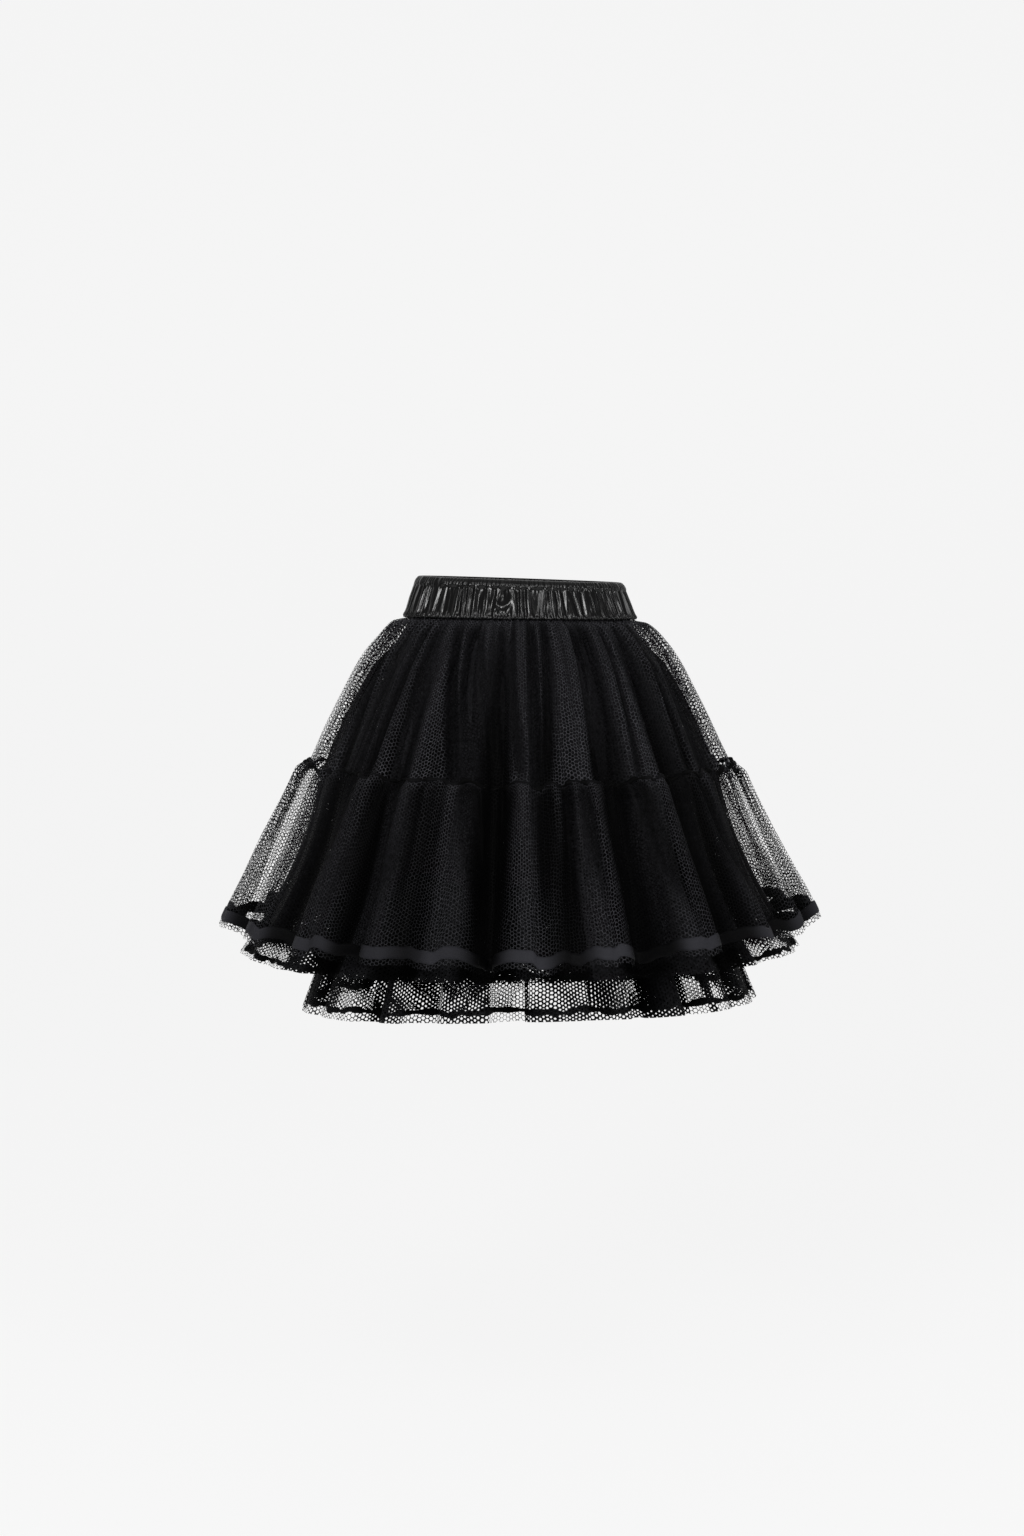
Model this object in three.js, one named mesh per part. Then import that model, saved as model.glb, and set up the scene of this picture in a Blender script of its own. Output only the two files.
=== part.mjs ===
// A black tulle petticoat skirt: a gathered satin waistband over three net layers, the outer one in two tiers
// with a ribbon near its hem. It keeps the round, hollow form that it has when it is worn.
//
// Millimetres, +Z up. The origin is the middle of the waist opening, level with the waistband's top edge.
// Angles run round the waist from the middle of the front, which faces -Y, towards +X.
//
// Every net layer is a wall round the body. A table gives the layer's half width and half depth at a few
// distances down the cloth. Folds push the wall inwards, gathers push it outwards, and each line of cloth
// from waist to hem keeps its cut length, so a deep fold hangs lower than the lobes beside it.
import * as THREE from "three";

const DEGREE = Math.PI / 180;

// Driving dimensions
const NET_WALL = 1.2;
const RIBBON_WALL = 1.0;
const SEAM_GAP = 0.35;
const WAIST_TILT = 0.0344; // the waist stands higher at -X by this much for each millimetre across
const TILT_ENDS = 65; // depth below the waist at which the tilt has died away
const HEM_TILT = 0.012; // the hem stands higher at +X by this much for each millimetre across
const HEM_TILT_DEPTHS = [200, 400]; // depths between which the hem's tilt grows
const LAYER_TOP = -38; // height of the net layers' top edges, tucked inside the waistband
const FOLD_HANG = 0.5; // share of its spare length by which a fold hangs lower: the net is stiff and holds the rest

const WAISTBAND = {
  points: 192,
  gathers: 48,
  wall: 2.2,
  gatherHeight: 2.0,
  sections: table(
    ["height", "halfWidth", "halfDepth", "gather"],
    [
      [0, 116.2, 84.6, 0.45],
      [-5.5, 117.6, 86, 0.12],
      [-23, 124.8, 91.8, 1],
      [-44.5, 132.8, 97.8, 0.8],
    ],
  ),
};

const UPPER_TIER = {
  points: 152,
  gathers: 38,
  gatherHeight: 3.2,
  frontExtra: 0.012,
  cornerLift: 0.02,
  swing: 0,
  sections: table(
    ["down", "halfWidth", "halfDepth", "fold", "gather"],
    [
      [0, 128.9, 94.5, 0, 0],
      [8, 131.2, 96.8, 0, 0.1],
      [28, 149, 113, 0.04, 1],
      [62, 172.5, 134, 0.12, 0.9],
      [130, 208, 168, 0.24, 0.5],
      [220, 249, 211, 0.32, 0],
    ],
  ),
};

const SEAM_LAP = 4;
const LOWER_TIER = {
  points: 152,
  gathers: 38,
  gatherHeight: 3.6,
  frontExtra: 0.012,
  cornerLift: 0.02,
  swing: 0,
  sections: table(
    ["down", "halfWidth", "halfDepth", "fold", "gather"],
    [
      [0, 250.8, 212.8, 0.32, 0.1],
      [12, 258, 220, 0.33, 1],
      [40, 271, 233, 0.42, 0.8],
      [90, 295, 256, 0.6, 0.45],
      [142, 321, 281, 0.78, 0.15],
      [194, 345, 304, 0.96, 0],
      [208, 351, 310, 1, 0],
    ],
  ),
};
const RIBBON_ROWS = [5, 6]; // the lower tier's rows that carry the ribbon's top and bottom edges

const MIDDLE_LAYER = {
  points: 100,
  gathers: 0,
  gatherHeight: 0,
  frontExtra: -0.045,
  cornerLift: 0,
  swing: 0,
  sections: table(
    ["down", "halfWidth", "halfDepth", "fold", "gather"],
    [
      [0, 127.1, 92.7, 0, 0],
      [8, 129.3, 94.9, 0, 0],
      [90, 158, 122, 0.15, 0],
      [190, 200, 158, 0.4, 0],
      [290, 245, 193, 0.65, 0],
      [370, 286, 218, 0.85, 0],
      [450, 330, 246, 1, 0],
    ],
  ),
};

const INNER_LAYER = {
  points: 100,
  gathers: 0,
  gatherHeight: 0,
  frontExtra: -0.045,
  cornerLift: 0,
  swing: 10,
  sections: table(
    ["down", "halfWidth", "halfDepth", "fold", "gather"],
    [
      [0, 125.3, 90.9, 0, 0],
      [8, 127.3, 92.9, 0, 0],
      [120, 155, 118, 0.2, 0],
      [240, 190, 146, 0.5, 0],
      [350, 224, 170, 0.75, 0],
      [420, 246, 186, 0.9, 0],
      [484, 269, 202, 1, 0],
    ],
  ),
};

// The outer layer's main folds: where each one meets the hem, how deep it is there, half its breadth, how far
// it leans round towards +X for each millimetre of depth, so that the lobe on that side laps over it, and how
// far each of its lips bulges over it
const OUTER_FOLDS = table(
  ["angle", "depth", "halfBreadth", "lean", "lip"],
  [
    [-50.5, 36, 8, 0.2, 4],
    [-35.5, 54, 8, 0.1, 6],
    [-21, 10, 6, 0, 0],
    [-6.5, 68, 7.5, 0, 20],
    [8, 18, 8, 0.2, 0],
    [25.5, 54, 8, -0.1, 6],
    [45, 48, 8.5, -0.1, 6],
    [60, 30, 7.5, -0.2, 0],
    [74, 44, 8.5, 0.2, 6],
    [89.5, 26, 8, -0.2, 0],
    [105, 50, 9, 0.3, 8],
    [124, 30, 8.5, 0, 0],
    [142, 56, 8.5, -0.3, 8],
    [160, 26, 8.5, 0.2, 0],
    [177, 54, 8, 0, 12],
    [194, 32, 8.5, -0.2, 0],
    [212, 56, 9, 0.3, 8],
    [231, 30, 8.5, 0, 0],
    [250, 48, 9, -0.3, 6],
    [270, 26, 8, 0.2, 0],
    [290, 44, 9, -0.2, 6],
  ],
);

// The inner layer's folds: broad flat lobes with narrow steep folds between them
const INNER_FOLDS = table(
  ["angle", "depth", "halfBreadth", "lean", "lip"],
  [
    [-45, 26, 7, 0.4, 0],
    [-28, 26, 7, 0.4, 0],
    [-5, 32, 8.5, 0.3, 4],
    [17, 8, 6, 0, 0],
    [31, 28, 7, -0.4, 0],
    [47, 24, 7, -0.4, 0],
    [65, 28, 7.5, 0, 4],
    [84, 24, 7.5, 0, 0],
    [103, 28, 7.5, 0.3, 4],
    [122, 24, 7.5, 0, 0],
    [140, 28, 7.5, -0.3, 4],
    [159, 24, 7.5, 0, 0],
    [178, 30, 8, 0.3, 4],
    [198, 24, 7.5, 0, 0],
    [216, 28, 7.5, -0.3, 4],
    [234, 24, 7.5, 0, 0],
    [253, 28, 7.5, 0.3, 4],
    [272, 24, 7.5, 0, 0],
    [292, 28, 8, 0, 4],
  ],
);

const MIDDLE_FOLDS = evenFolds({ count: 20, first: -9, angleSpread: 2.6, depth: 22, depthSpread: 6, halfBreadth: 8 });

const NET_LOOK = { color: 0x17171a, roughness: 0.85, metalness: 0 };
const SATIN_LOOK = { color: 0x1b1b1e, roughness: 0.35, metalness: 0 };
const RIBBON_LOOK = { color: 0x26262c, roughness: 0.6, metalness: 0 };

/** Turns rows of numbers into records with named fields. */
function table(names, rows) {
  return rows.map((row) => Object.fromEntries(names.map((name, i) => [name, row[i]])));
}

/** Folds spaced nearly evenly round the waist, each a little off its place and with a depth of its own. */
function evenFolds({ count, first, angleSpread, depth, depthSpread, halfBreadth }) {
  return Array.from({ length: count }, (_, i) => ({
    angle: first + (360 / count) * i + angleSpread * Math.sin(2.4 * i + 1),
    depth: depth + depthSpread * Math.sin(1.7 * i + 2),
    halfBreadth,
    lean: 0,
    lip: 0,
  }));
}

/** The angle in radians of a share of the way round: nearly even, so that gathers differ a little in width. */
function angleAt(share) {
  const turn = 2 * Math.PI * share;
  return turn + 0.022 * Math.sin(3 * turn + 1) + 0.014 * Math.sin(7 * turn + 2);
}

/** How far the folds push the wall in, and round, at an angle: each fold is one smooth trough with two lips. */
function foldPush(folds, angle) {
  const push = { inward: 0, round: 0 };
  for (const fold of folds) {
    const away = (((((angle / DEGREE - fold.angle) % 360) + 540) % 360) - 180) / fold.halfBreadth;
    if (Math.abs(away) >= 1) continue;
    const depth = fold.depth * Math.cos((away * Math.PI) / 2) ** 2;
    push.inward += depth;
    push.round += depth * fold.lean - Math.sign(away) * fold.lip * Math.sin(Math.PI * away ** 2);
  }
  return push;
}

/** How far gathers push the wall out, from 0 to 1, at a share of the way round. Their heights differ. */
function gatherRise(count, share) {
  const turn = 2 * Math.PI * share;
  const height = 0.75 + 0.25 * Math.sin(5 * turn + 0.7) * Math.sin(11 * turn + 2);
  return height * (0.5 + 0.5 * Math.cos(count * turn));
}

/** A point in plan on an ellipse with the given half axes, moved out along its normal and round along it. */
function planPoint(halfWidth, halfDepth, angle, out, round = 0) {
  const normal = new THREE.Vector2(halfDepth * Math.sin(angle), -halfWidth * Math.cos(angle)).normalize();
  const point = new THREE.Vector2(halfWidth * Math.sin(angle), -halfDepth * Math.cos(angle));
  return point.addScaledVector(normal, out).add(new THREE.Vector2(-normal.y, normal.x).multiplyScalar(round));
}

/** A layer's point in plan on one of its sections, as it lies and as it would lie with no folds. */
function layerPoint(layer, folds, section, share) {
  const angle = angleAt(share);
  const push = foldPush(folds, angle);
  const outward = section.gather * layer.gatherHeight * gatherRise(layer.gathers, share);
  const { halfWidth, halfDepth, fold, down } = section;
  const folded = planPoint(halfWidth, halfDepth, angle, outward - fold * push.inward, fold * push.round);
  const smooth = planPoint(halfWidth, halfDepth, angle, outward);
  const swing = layer.swing * (down / layer.sections.at(-1).down);
  folded.x += swing;
  smooth.x += swing;
  return { down, folded, smooth };
}

/** The rings of points through the middle of a layer's wall, from its top edge down to its hem. */
function layerRings(layer, folds, topHeight) {
  const rings = layer.sections.map(() => []);
  for (let i = 0; i < layer.points; i++) {
    const share = i / layer.points;
    const angle = angleAt(share);
    const cutLength =
      1 + layer.frontExtra * Math.cos(angle) ** 2 - layer.cornerLift * Math.sin(2 * angle) ** 2;
    let height = topHeight(i);
    let above = null;
    layer.sections.forEach((section, row) => {
      const point = layerPoint(layer, folds, section, share);
      if (above) {
        const along = (point.down - above.down) * cutLength;
        const foldedAcross = point.folded.distanceTo(above.folded);
        const smoothAcross = point.smooth.distanceTo(above.smooth);
        const across = THREE.MathUtils.lerp(smoothAcross, foldedAcross, FOLD_HANG);
        height -= Math.sqrt(Math.max(along ** 2 - across ** 2, (0.2 * along) ** 2));
      }
      above = point;
      rings[row].push(new THREE.Vector3(point.folded.x, point.folded.y, height));
    });
  }
  return rings;
}

/** The way out of the surface at each point of a set of rings, from the points beside, above and below it. */
function outwardNormals(rings) {
  return rings.map((ring, row) =>
    ring.map((_, i) => {
      const above = rings[Math.max(row - 1, 0)][i];
      const below = rings[Math.min(row + 1, rings.length - 1)][i];
      const before = ring[(i + ring.length - 1) % ring.length];
      const after = ring[(i + 1) % ring.length];
      const down = below.clone().sub(above);
      return down.cross(after.clone().sub(before)).normalize();
    }),
  );
}

/** The rings moved along their normals. */
function moved(rings, normals, distance) {
  return rings.map((ring, row) => ring.map((p, i) => p.clone().addScaledVector(normals[row][i], distance)));
}

/**
 * A closed wall between an outer and an inner set of rings of the same size. Both faces split each of their
 * quads along the diagonal that is the shorter one on the guide's rings, so that they bend alike.
 */
function wallBetween(outer, inner, guide) {
  const rows = outer.length;
  const count = outer[0].length;
  const positions = [...outer, ...inner].flat().flatMap((p) => [p.x, p.y, p.z]);
  const faces = [];
  const at = (side, row, i) => (side * rows + row) * count + (i % count);
  const split = (a, b, c, d, other) => {
    if (other) faces.push(a, b, d, b, c, d);
    else faces.push(a, b, c, a, c, d);
  };
  for (let i = 0; i < count; i++) {
    const next = (i + 1) % count;
    for (let row = 0; row < rows - 1; row++) {
      const falling = guide[row][i].distanceTo(guide[row + 1][next]);
      const other = falling > guide[row + 1][i].distanceTo(guide[row][next]);
      split(at(0, row, i), at(0, row + 1, i), at(0, row + 1, i + 1), at(0, row, i + 1), other);
      split(at(1, row, i + 1), at(1, row + 1, i + 1), at(1, row + 1, i), at(1, row, i), !other);
    }
    split(at(0, 0, i), at(0, 0, i + 1), at(1, 0, i + 1), at(1, 0, i), false);
    split(at(0, rows - 1, i), at(1, rows - 1, i), at(1, rows - 1, i + 1), at(0, rows - 1, i + 1), false);
  }
  const geometry = new THREE.BufferGeometry();
  geometry.setAttribute("position", new THREE.Float32BufferAttribute(positions, 3));
  geometry.setIndex(faces);
  geometry.computeVertexNormals();
  return geometry;
}

/** A named mesh with its own material. */
function piece(name, geometry, look) {
  const mesh = new THREE.Mesh(geometry, new THREE.MeshStandardMaterial(look));
  mesh.name = name;
  return mesh;
}

/** Leans rings with the waist and hem: the same shear for every piece, so that the layers stay apart. */
function leaned(rings) {
  for (const p of rings.flat()) {
    const waistShare = Math.max(0, 1 + p.z / TILT_ENDS);
    const hemShare = THREE.MathUtils.smoothstep(-p.z, ...HEM_TILT_DEPTHS);
    p.z += p.x * (HEM_TILT * hemShare - WAIST_TILT * waistShare);
  }
  return rings;
}

/** One ring of the waistband at a section, with a function that gives how far out each share stands. */
function bandRing(section, rise) {
  return Array.from({ length: WAISTBAND.points }, (_, i) => {
    const share = i / WAISTBAND.points;
    const plan = planPoint(section.halfWidth, section.halfDepth, angleAt(share), rise(share));
    return new THREE.Vector3(plan.x, plan.y, section.height);
  });
}

/** The elastic waistband: a plain inside, and gathers raised on its outside. */
function waistband() {
  const inside = WAISTBAND.sections.map((section) => bandRing(section, () => 0));
  const outside = WAISTBAND.sections.map((section) => {
    const height = section.gather * WAISTBAND.gatherHeight;
    return bandRing(section, (share) => WAISTBAND.wall + height * gatherRise(WAISTBAND.gathers, share));
  });
  return piece("waistband", wallBetween(leaned(outside), leaned(inside), inside), SATIN_LOOK);
}

/** The middle rings of a net layer that hangs from inside the waistband. */
function hungLayer(layer, folds) {
  return layerRings(layer, folds, () => LAYER_TOP);
}

/** A net wall round its middle rings. */
function netPiece(name, rings) {
  const normals = outwardNormals(rings);
  const outer = leaned(moved(rings, normals, NET_WALL / 2));
  const inner = leaned(moved(rings, normals, -NET_WALL / 2));
  return piece(name, wallBetween(outer, inner, rings), NET_LOOK);
}

/** The lower tier's middle rings: its gathered top laps the upper tier's lower edge on the outside. */
function lowerTierRings(upperRings) {
  return layerRings(LOWER_TIER, OUTER_FOLDS, (i) => upperRings.at(-1)[i].z + SEAM_LAP);
}

/** The ribbon near the hem: the lower tier's own points moved out by the seam gap. */
function hemRibbon(tierRings) {
  const normals = outwardNormals(tierRings);
  const near = NET_WALL / 2 + SEAM_GAP;
  const face = (distance) => {
    const lifted = moved(tierRings, normals, distance);
    return leaned(RIBBON_ROWS.map((row) => lifted[row]));
  };
  const guide = RIBBON_ROWS.map((row) => tierRings[row]);
  return piece("hem_ribbon", wallBetween(face(near + RIBBON_WALL), face(near), guide), RIBBON_LOOK);
}

const skirt = new THREE.Group();
const upperRings = hungLayer(UPPER_TIER, OUTER_FOLDS);
const lowerRings = lowerTierRings(upperRings);
skirt.add(
  waistband(),
  netPiece("outer_upper_tier", upperRings),
  netPiece("outer_lower_tier", lowerRings),
  hemRibbon(lowerRings),
  netPiece("middle_layer", hungLayer(MIDDLE_LAYER, MIDDLE_FOLDS)),
  netPiece("inner_layer", hungLayer(INNER_LAYER, INNER_FOLDS)),
);

export default skirt;
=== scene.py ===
"""The looks of a black tulle petticoat skirt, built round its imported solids.

The skirt hangs as it is worn: a gathered satin waistband, an outer net in two tiers with a ribbon near its
hem, and two longer net layers under it. Every piece is a surface over two parameters, the angle round the
waist and the distance down the cloth, worked out as whole arrays. Lengths in the tables are millimetres, as
in the solids' source, and the meshes are in metres.
"""

import logging
import math
from dataclasses import dataclass, replace
from enum import Enum
from typing import NamedTuple

import bpy
import numpy as np
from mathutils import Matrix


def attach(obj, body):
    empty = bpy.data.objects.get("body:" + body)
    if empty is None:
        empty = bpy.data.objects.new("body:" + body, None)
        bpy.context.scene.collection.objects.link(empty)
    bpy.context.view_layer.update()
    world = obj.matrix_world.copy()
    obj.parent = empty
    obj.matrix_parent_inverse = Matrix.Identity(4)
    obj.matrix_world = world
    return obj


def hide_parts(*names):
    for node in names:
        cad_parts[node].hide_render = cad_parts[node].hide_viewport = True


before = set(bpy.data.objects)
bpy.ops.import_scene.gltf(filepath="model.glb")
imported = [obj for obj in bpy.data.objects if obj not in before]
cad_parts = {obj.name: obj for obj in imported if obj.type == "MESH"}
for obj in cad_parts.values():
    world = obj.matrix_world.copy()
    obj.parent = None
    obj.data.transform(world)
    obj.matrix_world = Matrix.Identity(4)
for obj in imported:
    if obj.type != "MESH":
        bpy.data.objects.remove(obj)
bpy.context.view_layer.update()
LOG = logging.getLogger("skirt")
MM = 0.001

# Sizes shared by every layer
SEAM_LAP = 4
WAIST_TILT = 0.0344
TILT_ENDS = 65
HEM_TILT = 0.012
HEM_TILT_DEPTHS = (200, 400)
LAYER_TOP = -38
FOLD_HANG = 0.5
LEAST_DROP = 0.2
ROW_CROWDING = 1.15

# How much painted shade folds and gathers put into the colour of the nets, the ribbon and the rolls
WAVE_SHADE = 1.8
CREASE_SHADE = 2
SHADOW_POWER = 1.6

# One over the greatest value of t·exp(-t²)
LAP_SCALE = 2.33

# The least cosine that the pinch at the sides works with
LEAST_COSINE = 0.01

# Keeps the cells' coordinates above 0, where a remainder is plain
CELL_START = (2000, 4000, 0)


class Section(NamedTuple):
    """A layer's size at one distance down the cloth, and how much of its folds it has there."""

    down: float
    half_width: float
    half_depth: float
    fold: float


class Fold(NamedTuple):
    """One main fold: its place in degrees, depth at the hem, half breadth in degrees, lean and lip."""

    angle: float
    depth: float
    half_breadth: float
    lean: float
    lip: float


class Crease(NamedTuple):
    """A narrow crease of a tier: its angles at the tier's top and bottom, depth and half breadth."""

    top: float
    bottom: float
    depth: float
    half_breadth: float


class Stretch(NamedTuple):
    """A flap of an under layer between two angles in degrees, and its two plies' thread widths there."""

    start: float
    end: float
    long_thread: float
    short_thread: float


class Tuck(NamedTuple):
    """A narrow lap in a layer: its angle and half breadth in degrees, and its overlap and lift."""

    angle: float
    half_breadth: float
    overlap: float
    lift: float


UPPER_SECTIONS = (
    Section(0, 128.9, 94.5, 0),
    Section(8, 131.2, 96.8, 0),
    Section(28, 149, 113, 0.04),
    Section(62, 172.5, 134, 0.12),
    Section(130, 208, 168, 0.24),
    Section(220, 249, 211, 0.32),
)

LOWER_SECTIONS = (
    Section(0, 250.8, 212.8, 0.32),
    Section(12, 258, 220, 0.33),
    Section(40, 271, 233, 0.42),
    Section(90, 295, 256, 0.6),
    Section(142, 321, 281, 0.78),
    Section(194, 345, 304, 0.96),
    Section(208, 351, 310, 1),
    Section(215, 354, 313, 1),
)

MIDDLE_SECTIONS = (
    Section(0, 127.1, 92.7, 0),
    Section(8, 129.3, 94.9, 0),
    Section(90, 176, 137, 0.15),
    Section(190, 221, 177, 0.4),
    Section(290, 252, 203, 0.65),
    Section(370, 286, 218, 0.85),
    Section(450, 330, 246, 1),
)

INNER_SECTIONS = (
    Section(0, 125.3, 90.9, 0),
    Section(8, 127.3, 92.9, 0),
    Section(120, 155, 118, 0.2),
    Section(240, 190, 146, 0.5),
    Section(350, 224, 170, 0.75),
    Section(420, 246, 186, 0.9),
    Section(484, 269, 202, 1),
)

OUTER_FOLDS = (
    Fold(-51.5, 36, 7.5, 0.2, 4),
    Fold(-34, 46, 6, 0.1, 5),
    Fold(-21, 10, 6, 0, 0),
    Fold(-6.5, 68, 7.5, 0, 20),
    Fold(9, 10, 7, 0.2, 0),
    Fold(25.5, 54, 8, -0.1, 6),
    Fold(45, 48, 8.5, -0.1, 6),
    Fold(60, 30, 7.5, -0.2, 0),
    Fold(74, 44, 8.5, 0.2, 6),
    Fold(89.5, 26, 8, -0.2, 0),
    Fold(105, 50, 9, 0.3, 8),
    Fold(124, 30, 8.5, 0, 0),
    Fold(142, 56, 8.5, -0.3, 8),
    Fold(160, 26, 8.5, 0.2, 0),
    Fold(177, 54, 8, 0, 12),
    Fold(194, 32, 8.5, -0.2, 0),
    Fold(212, 56, 9, 0.3, 8),
    Fold(231, 30, 8.5, 0, 0),
    Fold(250, 48, 9, -0.3, 6),
    Fold(270, 26, 8, 0.2, 0),
    Fold(290, 44, 9, -0.2, 6),
)

INNER_FOLDS = (
    Fold(-45, 26, 7, 0.4, 0),
    Fold(-28, 26, 7, 0.4, 0),
    Fold(-5, 32, 8.5, 0.3, 4),
    Fold(17, 8, 6, 0, 0),
    Fold(31, 28, 7, -0.4, 0),
    Fold(47, 24, 7, -0.4, 0),
    Fold(65, 12, 7.5, 0, 4),
    Fold(84, 8, 7.5, 0, 0),
    Fold(103, 12, 7.5, 0.3, 4),
    Fold(122, 24, 7.5, 0, 0),
    Fold(140, 28, 7.5, -0.3, 4),
    Fold(159, 24, 7.5, 0, 0),
    Fold(178, 30, 8, 0.3, 4),
    Fold(198, 24, 7.5, 0, 0),
    Fold(216, 28, 7.5, -0.3, 4),
    Fold(234, 24, 7.5, 0, 0),
    Fold(253, 12, 7.5, 0.3, 4),
    Fold(272, 8, 7.5, 0, 0),
    Fold(292, 12, 8, 0, 4),
)

FRONT_UPPER_CREASES = (
    Crease(-42.7, -45, 8, 3),
    Crease(-38, -36, 5, 2),
    Crease(-28.9, -17, 11, 3.2),
    Crease(-21.3, -12.5, 14, 4),
    Crease(-17.2, -8, 5, 1.8),
    Crease(-8.8, -3.5, 6, 2),
    Crease(-3, 1, 4, 1.5),
    Crease(4.6, 4, 11, 2.5),
    Crease(10.3, 6.5, 8, 2.3),
    Crease(23.8, 20.5, 10, 2.8),
    Crease(29, 24, 13, 3.2),
    Crease(36.8, 33, 6, 2),
    Crease(47, 41.5, 9, 2.6),
    Crease(54.6, 52, 8, 2.5),
)

SIDE_UPPER_CREASES = (
    Crease(66, 64, 7, 2.5),
    Crease(79, 77, 8, 3),
    Crease(93, 91, 7, 2.6),
    Crease(107, 108, 8, 3),
    Crease(121, 123, 7, 2.6),
)

FRONT_LOWER_CREASES = (
    Crease(-47, -50, 6, 2.5),
    Crease(-38, -41, 3, 2),
    Crease(-25, -25, 5, 2),
    Crease(-13.5, -9, 12, 2.6),
    Crease(-3.5, 0, 5, 1.8),
    Crease(5, 4.5, 6, 2.2),
    Crease(11.5, 9, 7, 2.2),
    Crease(16, 17, 5, 1.6),
    Crease(27, 28, 6, 2),
    Crease(31.5, 35, 9, 2.4),
    Crease(41, 44, 6, 2.2),
    Crease(52, 55, 7, 2.4),
)

SIDE_LOWER_CREASES = (
    Crease(65, 68, 7, 2.6),
    Crease(80, 82, 6, 2.4),
    Crease(96, 98, 7, 2.6),
    Crease(112, 114, 6, 2.4),
)


def all_round(front: tuple[Crease, ...], side: tuple[Crease, ...]) -> tuple[Crease, ...]:
    """The creases of the front and one side, then the same ones turned half round for the rest."""
    half = front + side
    return half + tuple(Crease(c.top + 180, c.bottom + 180, c.depth, c.half_breadth) for c in half)


MIDDLE_FLAPS = (
    Stretch(-180, -122, 0.5, 0.5),
    Stretch(-122, -55, 0.2, 0.28),
    Stretch(-55, -5, 0.6, 0.6),
    Stretch(-5, 6, 0.4, 0.3),
    Stretch(6, 55, 0.6, 0.6),
    Stretch(55, 122, 0.2, 0.28),
    Stretch(122, 180, 0.5, 0.5),
)

MIDDLE_TUCKS = tuple(Tuck(angle, 2.6, 5, 2.5) for angle in (-38, -21, 14, 33, 142, 160, 195, 214))

INNER_FLAPS = (
    Stretch(-180, -152, 0.42, 0.3),
    Stretch(-152, -132, 0.25, 0.3),
    Stretch(-132, -112, 0.25, 0.3),
    Stretch(-112, -58, 0.25, 0.54),
    Stretch(-58, -49.5, 0.2, 0.25),
    Stretch(-49.5, -47.5, 0.3, 0.3),
    Stretch(-47.5, -33, 0.48, 0.5),
    Stretch(-33, -11, 0.36, 0.44),
    Stretch(-11, -1.5, 0.17, 0.2),
    Stretch(-1.5, 15, 0.46, 0.26),
    Stretch(15, 33, 0.43, 0.27),
    Stretch(33, 49, 0.58, 0.6),
    Stretch(49, 52.5, 0.22, 0.26),
    Stretch(52.5, 54, 0.6, 0.6),
    Stretch(54, 57, 0.2, 0.22),
    Stretch(57, 112, 0.25, 0.5),
    Stretch(112, 132, 0.3, 0.3),
    Stretch(132, 152, 0.25, 0.3),
    Stretch(152, 180, 0.4, 0.3),
)

INNER_TUCKS = tuple(
    Tuck(angle, 2.2, 4.5, 2) for angle in (-49.5, -33, -11, -1.5, 15, 33, 49, 132, 152, 172, 188, 209, 231)
)

MIDDLE_FOLD_COUNT = 20
MIDDLE_FOLDS = tuple(
    Fold(
        -9 + 360 / MIDDLE_FOLD_COUNT * i + 2.6 * math.sin(2.4 * i + 1),
        (22 + 6 * math.sin(1.7 * i + 2)) * (0.3 + 0.7 * abs(math.cos(math.pi / 10 * i - 0.16))),
        8,
        0,
        0,
    )
    for i in range(MIDDLE_FOLD_COUNT)
)


def smoothstep(value: np.ndarray, low: float, high: float) -> np.ndarray:
    """A smooth rise from 0 at low to 1 at high.

    Args:
        value: where to read the rise.
        low: the value at which it starts.
        high: the value at which it ends.

    Returns:
        The rise, of the shape of value.
    """
    share = np.clip((value - low) / (high - low), 0, 1)
    return share * share * (3 - 2 * share)


def smooth_curve(at: np.ndarray, places: np.ndarray, values: np.ndarray) -> np.ndarray:
    """A smooth curve through a table: cubic pieces whose slopes are the table's own central differences.

    Args:
        at: the places to read.
        places: the table's places, rising.
        values: the table's values there.

    Returns:
        The curve's values at the places asked for.
    """
    slopes = np.gradient(values, places)
    left = np.clip(np.searchsorted(places, at, side="right") - 1, 0, len(places) - 2)
    width = places[left + 1] - places[left]
    t = np.clip((at - places[left]) / width, 0, 1)
    start = (1 + 2 * t) * (1 - t) ** 2 * values[left] + t * (1 - t) ** 2 * width * slopes[left]
    end = t * t * (3 - 2 * t) * values[left + 1] - t * t * (1 - t) * width * slopes[left + 1]
    return start + end


def ring_angles(columns: int) -> np.ndarray:
    """Evenly spaced angles round the waist, from the middle of the front towards +X."""
    return np.arange(columns) * (2 * math.pi / columns)


def leaned(points: np.ndarray) -> np.ndarray:
    """Leans points with the waist and the hem, by the same shear as the solids.

    Args:
        points: an array of points in millimetres.

    Returns:
        The leaned points.
    """
    x = points[..., 0]
    z = points[..., 2]
    waist = np.maximum(0, 1 + z / TILT_ENDS)
    hem = smoothstep(-z, *HEM_TILT_DEPTHS)
    out = points.copy()
    out[..., 2] = z + x * (HEM_TILT * hem - WAIST_TILT * waist)
    return out


def outward_normals(points: np.ndarray) -> np.ndarray:
    """Outward unit normals of a grid that closes round the waist: the cross product of its two differences.

    Args:
        points: rows of rings, from the top down.

    Returns:
        One unit normal for each point.
    """
    down = np.gradient(points, axis=0)
    round_it = np.roll(points, -1, axis=1) - np.roll(points, 1, axis=1)
    normal = np.cross(down, round_it)
    return normal / np.maximum(np.linalg.norm(normal, axis=-1, keepdims=True), 1e-9)


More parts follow.
